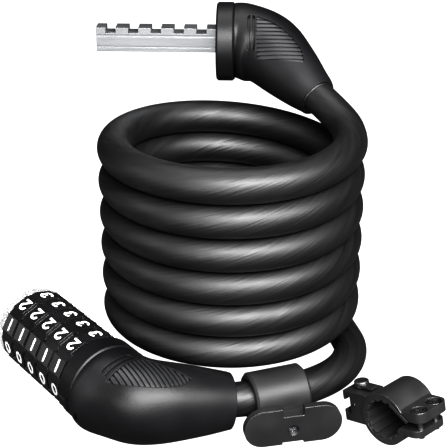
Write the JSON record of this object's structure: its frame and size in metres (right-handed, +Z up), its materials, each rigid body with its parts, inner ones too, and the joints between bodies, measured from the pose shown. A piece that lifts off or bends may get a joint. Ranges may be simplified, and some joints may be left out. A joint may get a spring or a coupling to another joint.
{
  "type": "coiled cable lock",
  "caption": "Coiled cable lock with a numbered dial barrel at one end, a notched bolt at the other, and clip-on bicycle mounting brackets.",
  "frame": {"origin": "on the table, under the middle of the rigid parts' bounding box, the cable left out", "axes": "+Z up along the axis of the coil, +X to the right as the lock is seen from the side with the tongue bracket, +Y away from that side"},
  "size_m": [0.1552, 0.1348, 0.1218],
  "materials": {
    "housing_plastic": "soft-touch black",
    "grip_plastic": "dark grey ribs",
    "dial_plastic": "black with white digits",
    "steel": "satin steel",
    "bright_ring": "knurled, bright",
    "cable_sheath": "satin black vinyl sheath over steel strands",
    "bracket_plastic": "dark grey moulded plastic",
    "liner_rubber": "black rubber",
    "screw_steel": "blackened steel"
  },
  "bodies": {
    "dial_head": {"lock_housing": "housing_plastic", "lock_collar": "housing_plastic", "lock_grip_upper": "grip_plastic", "lock_grip_lower": "grip_plastic", "lock_ferrule": "steel", "lock_cross_pin": "steel", "barrel_tube": "steel", "barrel_cap": "steel", "index_mark": "housing_plastic", "cable_coil": "cable_sheath", "cable_lead_lower": "cable_sheath", "clamp_cover": "bracket_plastic", "clamp_base": "bracket_plastic", "clamp_liner": "liner_rubber", "tongue_screw": "screw_steel", "tongue_nut": "screw_steel"},
    "dial_wheel_1": {"dial_1": "dial_plastic", "code_ring_1": "steel"},
    "dial_wheel_2": {"dial_2": "dial_plastic", "code_ring_2": "steel"},
    "dial_wheel_3": {"dial_3": "dial_plastic", "code_ring_3": "steel"},
    "dial_wheel_4": {"dial_4": "dial_plastic", "code_ring_4": "steel"},
    "dial_wheel_5": {"dial_5": "dial_plastic", "code_ring_5": "steel"},
    "reset_ring": {"reset_ring": "bright_ring"},
    "bolt_head": {"pin_housing": "housing_plastic", "pin_collar": "housing_plastic", "pin_grip_upper": "grip_plastic", "pin_grip_lower": "grip_plastic", "pin_ferrule": "steel", "pin_cross_pin": "steel", "lock_bolt": "steel", "neck_ring": "bright_ring", "cable_lead_upper": "cable_sheath"},
    "frame_bracket": {"frame_clamp_body": "bracket_plastic", "frame_liner": "liner_rubber", "frame_screw_1": "screw_steel", "frame_screw_2": "screw_steel", "latch_pin": "screw_steel"},
    "release_latch": {"release_latch": "bracket_plastic"}
  },
  "joints": [
    {"name": "dial_1_turn", "type": "hinge", "parent": "dial_head", "child": "dial_wheel_1", "pos_m": [-0.04129, -0.03629, 0.0154], "axis": [-0.5906, 0.807, 0], "continuous": true},
    {"name": "dial_2_turn", "type": "hinge", "parent": "dial_head", "child": "dial_wheel_2", "pos_m": [-0.04637, -0.02935, 0.0154], "axis": [-0.5906, 0.807, 0], "continuous": true},
    {"name": "dial_3_turn", "type": "hinge", "parent": "dial_head", "child": "dial_wheel_3", "pos_m": [-0.05144, -0.02241, 0.0154], "axis": [-0.5906, 0.807, 0], "continuous": true},
    {"name": "dial_4_turn", "type": "hinge", "parent": "dial_head", "child": "dial_wheel_4", "pos_m": [-0.05652, -0.01547, 0.0154], "axis": [-0.5906, 0.807, 0], "continuous": true},
    {"name": "dial_5_turn", "type": "hinge", "parent": "dial_head", "child": "dial_wheel_5", "pos_m": [-0.0616, -0.00853, 0.0154], "axis": [-0.5906, 0.807, 0], "continuous": true},
    {"name": "reset_ring_turn", "type": "hinge", "parent": "dial_head", "child": "reset_ring", "pos_m": [-0.06518, -0.00365, 0.0154], "axis": [-0.5906, 0.807, 0], "range_deg": [0, 90]},
    {"name": "coil_stretch", "type": "slide", "parent": "dial_head", "child": "bolt_head", "axis": [0, 0, 1], "range_m": [0, 0.25], "stiffness_N_per_m": 20, "deforming": ["cable_coil"]},
    {"name": "bracket_lift", "type": "slide", "parent": "dial_head", "child": "frame_bracket", "axis": [0, 0, 1], "range_m": [0, 0.05]},
    {"name": "latch_press", "type": "hinge", "parent": "frame_bracket", "child": "release_latch", "pos_m": [0.05249, -0.04254, 0.00861], "axis": [0.729, 0.6845, 0], "range_deg": [0, 4], "stiffness_Nm_per_rad": 0.05}
  ]
}
